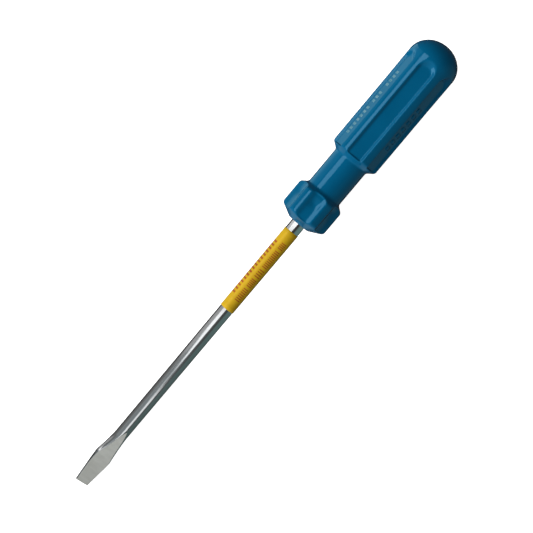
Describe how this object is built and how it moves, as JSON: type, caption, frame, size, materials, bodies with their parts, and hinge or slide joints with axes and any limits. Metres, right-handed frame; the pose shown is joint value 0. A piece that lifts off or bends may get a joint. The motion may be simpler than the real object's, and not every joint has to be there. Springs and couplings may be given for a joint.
{
  "type": "slotted screwdriver",
  "caption": "Slotted screwdriver with a fluted plastic handle that has a finger collar, a tapered chrome shank with a flared flat tip, and a thin plastic sleeve on the shank.",
  "frame": {"origin": "centre of the tip's end face, on the tool's axis", "axes": "+X along the tool's axis from the tip to the handle; +Z out of the flute that faces up; the tip's flats are turned 30 degrees from +Z towards -Y"},
  "size_m": [0.2537, 0.024, 0.024],
  "materials": {
    "handle": "glossy moulded blue plastic",
    "blade": "bright chrome, with satin ground faces at the tip",
    "sleeve": "semi-gloss yellow plastic film"
  },
  "bodies": {
    "root": {"handle": "handle", "blade": "blade", "sleeve": "sleeve"}
  },
  "joints": []
}
